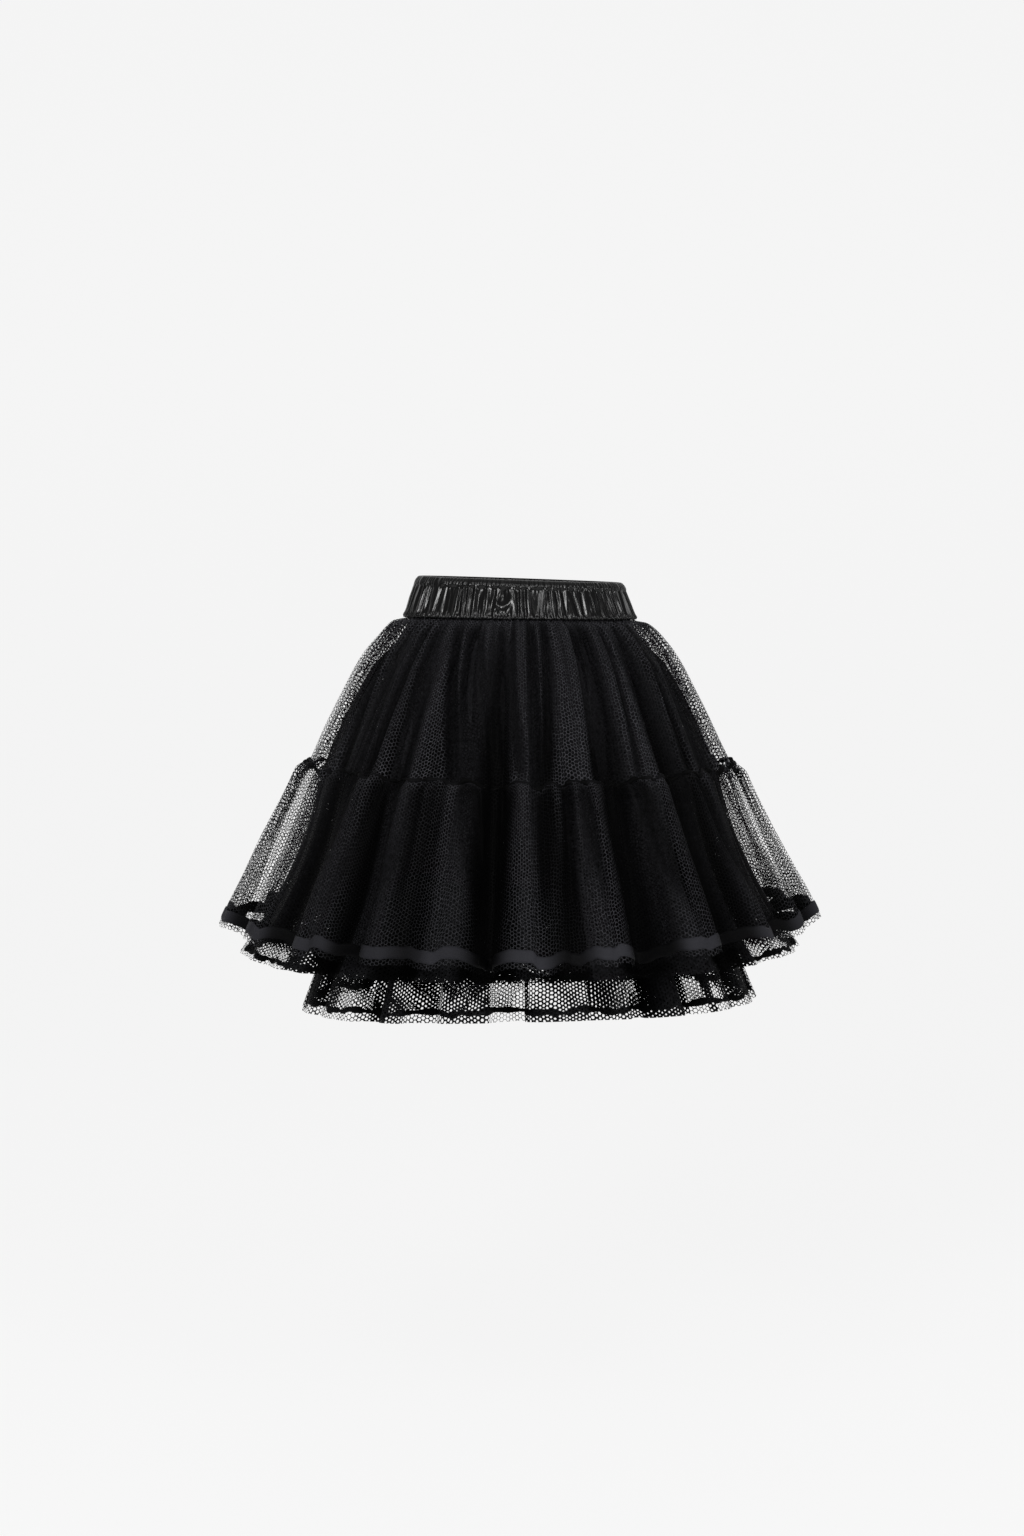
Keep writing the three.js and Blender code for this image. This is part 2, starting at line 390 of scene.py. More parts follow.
def fold_push(folds: tuple[Fold, ...], angle: np.ndarray) -> tuple[np.ndarray, np.ndarray]:
    """How far folds push a layer in and round: each is a squared-cosine trough with two lips.

    Args:
        folds: the layer's folds.
        angle: angles in radians.

    Returns:
        The push inwards and the push round towards +X, in millimetres.
    """
    inward = np.zeros_like(angle)
    round_it = np.zeros_like(angle)
    degrees = np.degrees(angle)
    for fold in folds:
        away = ((degrees - fold.angle + 180) % 360 - 180) / fold.half_breadth
        inside = np.abs(away) < 1
        depth = np.where(inside, fold.depth * np.cos(away * math.pi / 2) ** 2, 0)
        lip = np.where(inside, np.sign(away) * fold.lip * np.sin(math.pi * away**2), 0)
        inward += depth
        round_it += depth * fold.lean - lip
    return inward, round_it


def crease_push(creases: tuple[Crease, ...], angle: np.ndarray, share: np.ndarray) -> np.ndarray:
    """How far creases push a tier in: squared-cosine troughs that run from their top to their bottom angle.

    Args:
        creases: the tier's creases.
        angle: angles in radians.
        share: the share of the way down the tier.

    Returns:
        The push inwards, in millimetres.
    """
    degrees = np.degrees(angle)
    inward = np.zeros_like(degrees)
    for crease in creases:
        middle = crease.top + (crease.bottom - crease.top) * share
        away = ((degrees - middle + 180) % 360 - 180) / crease.half_breadth
        inward += np.where(np.abs(away) < 1, crease.depth * np.cos(away * math.pi / 2) ** 2, 0)
    return inward


def tuck_shift(tucks: tuple[Tuck, ...], angle: np.ndarray) -> tuple[np.ndarray, np.ndarray]:
    """How far laps move a layer round and out: t·exp(-t²) of the distance t from each lap's middle.

    Args:
        tucks: the layer's laps.
        angle: angles in radians.

    Returns:
        The shift round towards +X and the shift outwards, in millimetres.
    """
    round_it = np.zeros_like(angle)
    outward = np.zeros_like(angle)
    degrees = np.degrees(angle)
    for tuck in tucks:
        away = ((degrees - tuck.angle + 180) % 360 - 180) / tuck.half_breadth
        swing = away * np.exp(-(away**2))
        round_it -= LAP_SCALE * tuck.overlap * swing
        outward -= LAP_SCALE * tuck.lift * swing
    return round_it, outward


def mottle(angle: np.ndarray, down: np.ndarray, seed: int) -> np.ndarray:
    """Soft patches from about -1 to 1: a product and a sum of sines whose phases bend with each other.

    Args:
        angle: angles in radians.
        down: distances down the cloth.
        seed: picks the phases.

    Returns:
        The patches' values.
    """
    s = np.random.default_rng(seed).uniform(0, 2 * math.pi, 6)
    bend = np.sin(23 * angle + down / 31 + s[0])
    first = np.sin(37 * angle + 1.7 * bend + s[1]) * np.sin(down / 9 + 1.3 * bend + s[2])
    second = np.sin(71 * angle - down / 13 + s[3] + bend) * np.sin(down / 5.5 + 19 * angle + s[4])
    third = np.sin(13 * angle + down / 45 + s[5])
    return 0.5 * first + 0.3 * second + 0.2 * third


@dataclass(frozen=True)
class Waves:
    """A band of gathers or soft creases round a layer, uneven in width and height."""

    count: int
    height: float
    start: float
    full: float
    fade: float
    end: float
    sharp: float
    seed: int
    wander: float = 1.2
    unevenness: float = 0.4

    def outward(self, angle: np.ndarray, down: np.ndarray) -> tuple[np.ndarray, np.ndarray]:
        """How far the waves stand out: a power of a cosine whose phase wanders slowly round the waist.

        Args:
            angle: angles in radians.
            down: distances down the cloth.

        Returns:
            Millimetres outwards, and how far each place lies behind the waves' crests.
        """
        rng = np.random.default_rng(self.seed)
        shift = rng.uniform(0, 2 * math.pi, 6)
        phase = self.count * angle + shift[0]
        phase = phase + self.wander * np.sin(3 * angle + shift[1])
        phase = phase + self.wander * np.sin(7 * angle + shift[2])
        phase = phase + 0.5 * self.wander * np.sin(16 * angle + shift[3] + 0.012 * down)
        uneven = np.sin(5 * angle + shift[4]) * np.sin(11 * angle + shift[5] + 0.01 * down)
        strength = 1 - self.unevenness + self.unevenness * uneven
        rise = smoothstep(down, self.start, self.full) * (1 - smoothstep(down, self.fade, self.end))
        crest = self.height * strength * rise
        out = crest * np.abs(np.cos(phase / 2)) ** self.sharp
        return out, crest - out


@dataclass(frozen=True)
class Drape:
    """How one net layer hangs: its sections, folds and waves, and its cut length at each side."""

    sections: tuple[Section, ...]
    folds: tuple[Fold, ...]
    waves: tuple[Waves, ...]
    columns: int
    rows: int
    front_extra: float
    corner_lift: float
    swing: float
    inset: float = 0
    inset_top: float = 0
    inset_run: tuple[float, float] = (20, 160)
    trimmed: float = 0
    shadow: float = 0.04
    shadow_depth: float = 6
    creases: tuple[Crease, ...] = ()
    crease_run: tuple[float, float, float, float] = (0, 1, 900, 901)
    tucks: tuple[Tuck, ...] = ()
    tuck_run: tuple[float, float] = (250, 400)
    pinch: tuple[float, float] = (0, 0.25)
    pinch_run: tuple[float, float] = (150, 400)

    def downs(self) -> np.ndarray:
        """Distances down the cloth of the rows, closer together near the top, as a column."""
        share = np.linspace(0, 1, self.rows) ** ROW_CROWDING
        return share[:, None] * (self.sections[-1].down - self.trimmed)

    def column_of(self, name: str, down: np.ndarray) -> np.ndarray:
        """One column of the section table as a smooth curve over the rows.

        Args:
            name: the column's name.
            down: distances down the cloth, as a column.

        Returns:
            The column's values there.
        """
        places = np.array([section.down for section in self.sections], float)
        values = np.array([getattr(section, name) for section in self.sections], float)
        return smooth_curve(down, places, values)

    def plan(self, down: np.ndarray) -> tuple[np.ndarray, np.ndarray, np.ndarray]:
        """Plan positions, as the layer lies and as it would lie with no folds.

        Both are an ellipse moved along its normal. Its depth shrinks with a power of the angle's cosine, the
        pinch, so that front and back meet in an edge at each side, as stiff net lies.

        Args:
            down: distances down the cloth, as a column.

        Returns:
            Two arrays of plan positions, and how deep each place lies behind the crests, with waves and
            creases weighted for the painted shade.
        """
        angle = np.broadcast_to(ring_angles(self.columns), (len(down), self.columns))
        fold = self.column_of("fold", down)
        width = self.column_of("half_width", down)
        depth = self.column_of("half_depth", down)
        inward, round_it = fold_push(self.folds, angle)
        risen = [wave.outward(angle, down) for wave in self.waves]
        run = smoothstep(down, *self.crease_run[:2]) * (1 - smoothstep(down, *self.crease_run[2:]))
        creased = crease_push(self.creases, angle, down / self.sections[-1].down)
        lapped, lifted = tuck_shift(self.tucks, angle)
        laps = smoothstep(down, *self.tuck_run)
        recess = fold * inward + CREASE_SHADE * run * creased
        recess = recess + WAVE_SHADE * sum(behind for _, behind in risen)
        outward = sum((out for out, _ in risen), laps * lifted - run * creased)
        outward = outward - self.inset_top
        outward = outward - (self.inset - self.inset_top) * smoothstep(down, *self.inset_run)
        normal = np.stack([depth * np.sin(angle), -width * np.cos(angle)], axis=-1)
        normal /= np.linalg.norm(normal, axis=-1, keepdims=True)
        side = np.stack([-normal[..., 1], normal[..., 0]], axis=-1)
        pinch = self.pinch[0] + (self.pinch[1] - self.pinch[0]) * smoothstep(down, *self.pinch_run)
        flatter = np.maximum(np.abs(np.cos(angle)), LEAST_COSINE) ** pinch
        base = np.stack([width * np.sin(angle), -depth * np.cos(angle) * flatter], axis=-1)
        base[..., 0] += self.swing * down / self.sections[-1].down
        smooth = base + outward[..., None] * normal
        sideways = fold * round_it + laps * lapped
        folded = smooth - (fold * inward)[..., None] * normal + sideways[..., None] * side
        return folded, smooth, recess

    def hang(self, start: np.ndarray | float) -> tuple[np.ndarray, np.ndarray]:
        """Points of the layer: each line of cloth drops by what is left of its cut length on its way out.

        Args:
            start: the height of the top edge, one value or one for each angle.

        Returns:
            Rows of rings of points in millimetres, not yet leaned, and how lit each is, a painted shade that
            darkens the colour in folds, creases and between gathers: 1 on crests.
        """
        down = self.downs()
        folded, smooth, recess = self.plan(down)
        angle = ring_angles(self.columns)
        cut = 1 + self.front_extra * np.cos(angle) ** 2 - self.corner_lift * np.sin(2 * angle) ** 2
        along = np.diff(down, axis=0) * cut
        across_folded = np.linalg.norm(np.diff(folded, axis=0), axis=-1)
        across_smooth = np.linalg.norm(np.diff(smooth, axis=0), axis=-1)
        across = (1 - FOLD_HANG) * across_smooth + FOLD_HANG * across_folded
        drop = np.sqrt(np.maximum(along**2 - across**2, (LEAST_DROP * along) ** 2))
        height = np.concatenate([np.zeros((1, self.columns)), -np.cumsum(drop, axis=0)]) + start
        # Painted shade: the colour darkens with the depth behind the crests, down to the shadow share in the
        # deepest folds.
        deep = np.maximum(recess / self.shadow_depth, 0) ** SHADOW_POWER
        lit = self.shadow + (1 - self.shadow) * np.exp(-deep)
        return np.concatenate([folded, height[..., None]], axis=-1), lit


class Ends(Enum):
    """Whether a surface's profile is open, with two edges, or closes on itself."""

    OPEN = "open"
    CLOSED = "closed"


@dataclass
class Surface:
    """A grid of points that closes round the waist, with its thread widths and lit, painted shade except on
    the satin, where it sets roughness.
    """

    name: str
    points: np.ndarray
    ends: Ends
    measured_row: int = -1
    thread: np.ndarray | None = None
    lit: np.ndarray | None = None

    def faces(self) -> tuple[np.ndarray, np.ndarray, np.ndarray]:
        """Quads over the grid, with each corner's row and column counted past the joins for the UV map.

        Returns:
            The corners' point numbers, their rows and their columns, one row of four for each quad.
        """
        rows, columns = self.points.shape[:2]
        last = rows if self.ends is Ends.CLOSED else rows - 1
        row, column = np.meshgrid(np.arange(last), np.arange(columns), indexing="ij")
        row = row.ravel()[:, None] + np.array([0, 1, 1, 0])
        column = column.ravel()[:, None] + np.array([0, 0, 1, 1])
        return (row % rows) * columns + column % columns, row, column

    def cloth_map(self, row: np.ndarray, column: np.ndarray) -> np.ndarray:
        """UV in metres of cloth: lengths along the measured row, and down the first column.

        Args:
            row: rows of the faces' corners.
            column: columns of the faces' corners.

        Returns:
            One pair for each corner.
        """
        ring = self.points[self.measured_row]
        steps = np.linalg.norm(np.roll(ring, -1, axis=0) - ring, axis=-1)
        along = np.concatenate([[0], np.cumsum(steps)])
        line = np.concatenate([self.points[:, 0], self.points[:1, 0]])
        drops = np.concatenate([[0], np.cumsum(np.linalg.norm(np.diff(line, axis=0), axis=-1))])
        return np.stack([along[column], drops[row]], axis=-1) * MM

    def build(self, finish: bpy.types.Material, slot: str) -> bpy.types.Object:
        """Makes the mesh object with its UV map, attributes and material, and sets it on the body.

        Args:
            finish: the material.
            slot: the record's material slot; not used.

        Returns:
            The new object.
        """
        quads, row, column = self.faces()
        mesh = bpy.data.meshes.new(self.name)
        mesh.from_pydata(leaned(self.points).reshape(-1, 3) * MM, [], quads)
        uv = mesh.uv_layers.new(name="cloth")
        uv.data.foreach_set("uv", self.cloth_map(row, column).astype(np.float32).ravel())
        for label, values in (("thread", self.thread), ("lit", self.lit)):
            spread = np.broadcast_to(1.0 if values is None else values, self.points.shape[:2])
            layer = mesh.attributes.new(label, "FLOAT", "POINT")
            layer.data.foreach_set("value", spread.astype(np.float32).ravel())
        mesh.polygons.foreach_set("use_smooth", np.ones(len(quads), bool))
        mesh.update()
        mesh.materials.append(finish)
        obj = bpy.data.objects.new(self.name, mesh)
        bpy.context.collection.objects.link(obj)
        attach(obj, "root")
        edge = np.concatenate([self.points[self.measured_row], self.points[self.measured_row, :1]])
        round_it = np.linalg.norm(np.diff(edge, axis=0), axis=-1).sum() * MM
        LOG.info("%s: %d faces, %.3f m round its edge", self.name, len(quads), round_it)
        return obj


class Graph:
    """A short way to write a material's nodes."""

    def __init__(self, name: str) -> None:
        """Starts a material with an empty node tree and one output.

        Args:
            name: the material's name.
        """
        self.material = bpy.data.materials.new(name)
        self.material.use_nodes = True
        self.tree = self.material.node_tree
        self.tree.nodes.clear()
        self.output = self.tree.nodes.new("ShaderNodeOutputMaterial")

    def node(self, kind: str, **settings: object) -> bpy.types.Node:
        """Adds a node and sets its properties.

        Args:
            kind: the node's type.
            settings: its properties by name.

        Returns:
            The new node.
        """
        made = self.tree.nodes.new(kind)
        for key, value in settings.items():
            setattr(made, key, value)
        return made

    def feed(self, socket: bpy.types.NodeSocket, value: object) -> None:
        """Links a socket to another one, or sets its constant.

        Args:
            socket: the input.
            value: the other socket, or the constant.
        """
        if isinstance(value, bpy.types.NodeSocket):
            self.tree.links.new(value, socket)
        else:
            socket.default_value = value

    def math(self, operation: str, *values: object) -> bpy.types.NodeSocket:
        """A Math node.

        Args:
            operation: what it works out.
            values: sockets or constants.

        Returns:
            Its result.
        """
        made = self.node("ShaderNodeMath", operation=operation)
        for socket, value in zip(made.inputs, values):
            self.feed(socket, value)
        return made.outputs[0]

    def vector(self, operation: str, *values: object) -> bpy.types.NodeSocket:
        """A Vector Math node.

        Args:
            operation: what it works out.
            values: sockets or constants.

        Returns:
            Its vector, or the value of a dot product.
        """
        made = self.node("ShaderNodeVectorMath", operation=operation)
        for socket, value in zip(made.inputs, values):
            self.feed(socket, value)
        return made.outputs["Value" if operation == "DOT_PRODUCT" else "Vector"]

    def attribute(self, name: str) -> bpy.types.NodeSocket:
        """The number that the mesh carries under a name."""
        return self.node("ShaderNodeAttribute", attribute_name=name).outputs["Fac"]

    def cloth(self) -> bpy.types.NodeSocket:
        """The piece's own UV map, in metres of cloth."""
        return self.node("ShaderNodeUVMap", uv_map="cloth").outputs[0]

    def near_black(self, tone: bpy.types.NodeSocket, blueness: float) -> bpy.types.NodeSocket:
        """A grey with a little more blue.

        Args:
            tone: the grey's brightness.
            blueness: how many times the grey its blue is.

        Returns:
            The colour.
        """
        colour = self.node("ShaderNodeCombineColor")
        self.feed(colour.inputs["Red"], tone)
        self.feed(colour.inputs["Green"], tone)
        self.feed(colour.inputs["Blue"], self.math("MULTIPLY", tone, blueness))
        return colour.outputs[0]

    def finish(self, shader: bpy.types.Node, **values: object) -> bpy.types.Material:
        """Sets a shader's sockets by name, links it to the output and gives the material.

        Args:
            shader: the shader node.
            values: its sockets' values, with underscores for the spaces in their names.

        Returns:
            The finished material.
        """
        for key, value in values.items():
            self.feed(shader.inputs[key.replace("_", " ")], value)
        self.feed(self.output.inputs["Surface"], shader.outputs[0])
        return self.material


@dataclass(frozen=True)
class NetFinish:
    """Hexagonal net: black threads round open cells."""

    name: str
    pitch: float
    tone: float
    specular: float
    roughness: float = 0.6
    turn: float = 0.5
    warp: float = 2.2
    warp_scale: float = 0.16
    grain_and_highlight_scale: float = 0.85
    darkest: float = 0.15
    lightest: float = 1.85
    blueness: float = 1.12

    def cell(self, graph: Graph, place: bpy.types.NodeSocket) -> bpy.types.NodeSocket:
        """Distance from the nearest cell's middle: 0 there and 0.5 on the thread between two cells.

        Two lattices of rectangles, 1 by the root of 3, are read, and the smaller hexagonal distance wins.

        Args:
            graph: the material's nodes.
            place: the place on the cloth, in cells.

        Returns:
            The distance.
        """
        step = (1.0, math.sqrt(3), 1.0)
        half = (0.5, math.sqrt(3) / 2, 0.0)
        distances = []
        for start in (place, graph.vector("ADD", place, half)):
            local = graph.vector("MODULO", start, step)
            local = graph.vector("ABSOLUTE", graph.vector("SUBTRACT", local, half))
            slanted = graph.vector("DOT_PRODUCT", local, half)
            straight = graph.vector("DOT_PRODUCT", local, (1.0, 0.0, 0.0))
            distances.append(graph.math("MAXIMUM", slanted, straight))
        return graph.math("MINIMUM", *distances)

    def mask(self, graph: Graph) -> bpy.types.NodeSocket:
        """Where the net has thread: the mesh's thread attribute gives its width, and noise bends the cells.

        Args:
            graph: the material's nodes.

        Returns:
            1 on threads and 0 in the open cells.
        """
        limit = graph.math("MULTIPLY_ADD", graph.attribute("thread"), -0.5, 0.5)
        warp = graph.node("ShaderNodeTexNoise")
        graph.feed(warp.inputs["Vector"], graph.cloth())
        warp.inputs["Scale"].default_value = self.warp_scale / (self.pitch * MM)
        cells = graph.vector("SCALE", graph.cloth())
        cells.node.inputs["Scale"].default_value = 1 / (self.pitch * MM)
        cells = graph.vector("MULTIPLY_ADD", warp.outputs["Color"], (self.warp, self.warp, 0.0), cells)
        turned = graph.node("ShaderNodeMapping")
        graph.feed(turned.inputs["Vector"], cells)
        turned.inputs["Location"].default_value = CELL_START
        turned.inputs["Rotation"].default_value = (0, 0, self.turn)
        return graph.math("GREATER_THAN", self.cell(graph, turned.outputs[0]), limit)

    def shade(self, graph: Graph) -> bpy.types.NodeSocket:
        """The threads' tone: an uneven grain, partly painted patchy highlights, with painted shade where the
        lit attribute is low.

        Args:
            graph: the material's nodes.

        Returns:
            The tone.
        """
        # The grain is partly the net's own uneven tone and partly painted patchy highlights on the threads.
        noise = graph.node("ShaderNodeTexNoise")
        graph.feed(noise.inputs["Vector"], graph.cloth())
        noise.inputs["Scale"].default_value = self.grain_and_highlight_scale / (self.pitch * MM)
        noise.inputs["Detail"].default_value = 3.0
        noise.inputs["Roughness"].default_value = 0.8
        tone = graph.node("ShaderNodeMapRange")
        graph.feed(tone.inputs["Value"], noise.outputs["Fac"])
        tone.inputs["From Min"].default_value = 0.3
        tone.inputs["From Max"].default_value = 0.7
        tone.inputs["To Min"].default_value = self.tone * self.darkest
        tone.inputs["To Max"].default_value = self.tone * self.lightest
        # Painted shade: the lit attribute darkens the threads in folds, creases and between gathers.
        return graph.math("MULTIPLY", tone.outputs[0], graph.attribute("lit"))

    def material(self) -> bpy.types.Material:
        """The net's material: near-black threads, and nothing in the cells.

        Returns:
            The finished material.
        """
        graph = Graph(self.name)
        alpha = self.mask(graph)
        return graph.finish(
            graph.node("ShaderNodeBsdfPrincipled"),
            Base_Color=graph.near_black(self.shade(graph), self.blueness),
            Roughness=self.roughness,
            Specular_IOR_Level=self.specular,
            Alpha=alpha,
        )


@dataclass(frozen=True)
class SatinFinish:
    """Black satin: smooth and shiny, with fine creases along the drop and a soft unevenness of gloss."""

    name: str
    tone: float
    gloss: float
    smoothest: float = 0.75
    roughest: float = 1.35
    header_dullness: float = 0.1
    crease_scale: tuple[float, float, float] = (900.0, 90.0, 1.0)
    crease_depth: float = 0.11
    crease_strength: float = 0.4
    patch_scale: float = 140.0
    specular: float = 0.27
    blueness: float = 1.05

    def material(self) -> bpy.types.Material:
        """The satin's material, with its creases in the bump and its unevenness in the roughness.

        Returns:
            The finished material.
        """
        graph = Graph(self.name)
        creases = graph.node("ShaderNodeTexNoise")
        graph.feed(creases.inputs["Vector"], graph.vector("MULTIPLY", graph.cloth(), self.crease_scale))
        creases.inputs["Scale"].default_value = 1.0
        creases.inputs["Detail"].default_value = 3.0
        bump = graph.node("ShaderNodeBump")
        graph.feed(bump.inputs["Height"], creases.outputs["Fac"])
        bump.inputs["Distance"].default_value = self.crease_depth * MM
        bump.inputs["Strength"].default_value = self.crease_strength
        patches = graph.node("ShaderNodeTexNoise")
        graph.feed(patches.inputs["Vector"], graph.cloth())
        patches.inputs["Scale"].default_value = self.patch_scale
        rough = graph.node("ShaderNodeMapRange")
        graph.feed(rough.inputs["Value"], patches.outputs["Fac"])
        rough.inputs["To Min"].default_value = self.gloss * self.smoothest
        rough.inputs["To Max"].default_value = self.gloss * self.roughest
        most = self.header_dullness
        dull = graph.math("MULTIPLY_ADD", graph.attribute("lit"), -most, most)
        return graph.finish(
            graph.node("ShaderNodeBsdfPrincipled"),
            Base_Color=(self.tone, self.tone, self.tone * self.blueness, 1.0),
            Roughness=graph.math("ADD", rough.outputs[0], dull),
            Specular_IOR_Level=self.specular,
            Normal=bump.outputs[0],
        )


@dataclass(frozen=True)
class RibbonFinish:
    """Matt black ribbon with fine ribs across it."""

    name: str
    tone: float
    rib: float
    roughness: float
    rib_depth: float = 0.12
    rib_strength: float = 0.6
    rib_shade: float = 0.15
    specular: float = 0.05
    blueness: float = 1.18

    def material(self) -> bpy.types.Material:
        """The ribbon's material: ribs are a sine along it, in the bump and as painted shade lightly in the
        colour, and the lit attribute paints the tier's shade over it.

        Returns:
            The finished material.
        """
        graph = Graph(self.name)
        along = graph.vector("DOT_PRODUCT", graph.cloth(), (2 * math.pi / (self.rib * MM), 0.0, 0.0))
        ribs = graph.math("SINE", along)
        bump = graph.node("ShaderNodeBump")
        graph.feed(bump.inputs["Height"], ribs)
        bump.inputs["Distance"].default_value = self.rib_depth * MM
        bump.inputs["Strength"].default_value = self.rib_strength
        # Painted shade: the colour darkens in the ribs' hollows, and lit darkens it in the tier's folds.
        tone = graph.math("MULTIPLY_ADD", ribs, self.rib_shade * self.tone, self.tone)
        tone = graph.math("MULTIPLY", tone, graph.attribute("lit"))
        return graph.finish(
            graph.node("ShaderNodeBsdfPrincipled"),
            Base_Color=graph.near_black(tone, self.blueness),
            Roughness=self.roughness,
            Specular_IOR_Level=self.specular,
            Normal=bump.outputs[0],
        )


# Both tiers are one tulle: the difference between their two tones is painted light and shade.
UPPER_NET = NetFinish("fine outer tulle", pitch=4.4, tone=0.031, specular=0.03)
LOWER_NET = NetFinish("gathered outer tulle", pitch=4.4, tone=0.021, specular=0.03)
UNDER_NET = NetFinish("stiff under net", pitch=4.6, tone=0.0075, specular=0.02)
SATIN = SatinFinish("black satin", tone=0.002, gloss=0.2)
RIBBON = RibbonFinish("ribbed ribbon", tone=0.023, rib=1.1, roughness=0.6)
ROLL = RibbonFinish("rolled net", tone=0.003, rib=2.3, roughness=0.7)


def strip_along(edge: np.ndarray, across: np.ndarray, out: np.ndarray, shape: np.ndarray) -> np.ndarray:
    """A closed strip carried round an edge: at each of its points the profile is laid in two directions.

    Args:
        edge: a ring of points.
        across: a unit direction across the strip at each point.
        out: a unit direction out of the strip at each point.
        shape: the profile, rows of (across, out) lengths, and over the ring too where it has three axes.

    Returns:
        Rows of rings, one for each point of the profile.
    """
    first = shape[:, 0] if shape.ndim == 3 else shape[:, :1]
    second = shape[:, 1] if shape.ndim == 3 else shape[:, 1:]
    return edge + first[..., None] * across + second[..., None] * out


def round_profile(radius: float, corners: int) -> np.ndarray:
    """A round profile as rows of (across, out) lengths."""
    turn = -np.arange(corners) * (2 * math.pi / corners)
    return radius * np.stack([np.cos(turn), np.sin(turn)], axis=-1)


@dataclass
class Waistband:
    """The gathered satin casing over elastic, with a narrow header above its stitching."""

    columns: int = 1200
    face_rows: int = 34
    face_crowding: float = 1.3
    lining_rows: int = 8
    height: float = 44.5
    header: float = 5.6
    wall: float = 2.2
    fullness: float = 1.3
    taper: float = 1.2
    gathers: int = 66
    relief: float = 3.0
    sunk: float = 0.4
    seed: int = 7
    puckers_round: int = 190
    pucker_height: float = 0.7
    lower_puckers: float = 3.2
    frills_round: int = 150
    frill_height: float = 1.0
    header_lean: float = 1.4
    header_flare: float = 3.6
    groove_depth: float = 0.5
    groove_breadth: float = 1.1
    top_round: float = 0.8
    top_rise: tuple[float, float] = (0.5, -0.7)
    lower_waver: float = 0.6
    front_radius: float = 120
    knot_angle: float = -0.16
    knot_down: float = 20
    knot_half: tuple[float, float] = (8, 11)
    knot_ridge: float = 1.5
    knot_dimple: float = 2.0
    lining: tuple[tuple[float, float, float], ...] = (
        (0, 116.2, 84.6),
        (5.5, 117.6, 86),
        (23, 124.8, 91.8),
        (44.5, 132.8, 97.8),
    )

    def ring(self, down: np.ndarray, outward: np.ndarray) -> np.ndarray:
        """Rings at distances below the top edge: the lining's ellipse moved out along its normal.

        Args:
            down: distances below the top edge, as a column.
            outward: how far out of the lining each point is.

        Returns:
            Rows of rings of points.
        """
        places, widths, depths = (np.array(values, float) for values in zip(*self.lining))
        width = np.interp(down, places, widths)
        depth = np.interp(down, places, depths)
        angle = np.broadcast_to(ring_angles(self.columns), outward.shape)
        normal = np.stack([depth * np.sin(angle), -width * np.cos(angle)], axis=-1)
        normal /= np.linalg.norm(normal, axis=-1, keepdims=True)
        plan = np.stack([width * np.sin(angle), -depth * np.cos(angle)], axis=-1)
        plan = plan + outward[..., None] * normal
        height = np.broadcast_to(-down, outward.shape)
        return np.concatenate([plan, height[..., None]], axis=-1)

    def creases(self, angle: np.ndarray, down: np.ndarray) -> np.ndarray:
        """Gathers from 0 to 1: cosines round the waist whose phase wanders with height.

        Each term of a phase has its size, its number of turns round the waist and its slant, so that the
        creases slant and fork, and the wedge makes some of them broad at the top and others at the bottom.

        Args:
            angle: angles in radians.
            down: distances below the top edge.

        Returns:
            The creases' height share.
        """
        rng = np.random.default_rng(self.seed)
        s = rng.uniform(0, 2 * math.pi, 12)
        phase = self.gathers * angle + 1.7 * np.sin(9 * angle + s[0]) + 1.3 * np.sin(23 * angle + s[1])
        phase = phase + 0.5 * np.sin(31 * angle + s[2] + down / 14)
        phase = phase + 1.8 * np.sin(13 * angle + s[3] - down / 24)
        wedge = np.exp(0.9 * np.sin(15 * angle + s[8]) * (2 * down / self.height - 1))
        broad = np.abs(np.cos(phase / 2)) ** (1.6 * wedge)
        second = 2 * self.gathers * angle + 1.4 * np.sin(19 * angle + s[4] - down / 13)
        fine = np.abs(np.cos(second / 2 + 0.6 * np.sin(41 * angle + s[5] + down / 12)))
        patch = 0.5 + 0.5 * np.sin(17 * angle + s[6]) * np.sin(29 * angle + s[7] + down / 25)
        return 0.85 * broad * (0.65 + 0.35 * patch) + 0.15 * fine * (1 - 0.6 * patch)

    def puckers(self, angle: np.ndarray, down: np.ndarray) -> np.ndarray:
        """Short puckers at the two stitch lines: finer cosines that die away within a few millimetres.

        Args:
            angle: angles in radians.
            down: distances below the top edge.

        Returns:
            The puckers' height share.
        """
        rng = np.random.default_rng(self.seed + 1)
        s = rng.uniform(0, 2 * math.pi, 3)
        phase = self.puckers_round * angle
        phase = phase + 1.5 * np.sin(21 * angle + s[0]) + 1.2 * np.sin(37 * angle + s[1])
        near = self.lower_puckers * np.exp(-np.abs(down - self.height + 2) / 2.5)
        near = near + np.exp(-np.abs(down - self.header - 3) / 3)
        return near * np.abs(np.cos(phase / 2))

    def knot(self, angle: np.ndarray, down: np.ndarray) -> np.ndarray:
        """One pucker in the front where creases meet: a dimple of the bell curve with a ridge below it.

        Args:
            angle: angles in radians.
            down: distances below the top edge.

        Returns:
            How far it stands out, in millimetres.
        """
        half_width, half_height = self.knot_half
        across = (angle - self.knot_angle + math.pi) % (2 * math.pi) - math.pi
        away = np.hypot(across * self.front_radius / half_width, (down - self.knot_down) / half_height)
        ridge = np.exp(-(((away - 1) / 0.3) ** 2))
        ridge = ridge * smoothstep(down, self.knot_down - 2, self.knot_down + 8)
        return self.knot_ridge * ridge - self.knot_dimple * np.exp(-((away / 0.65) ** 2))

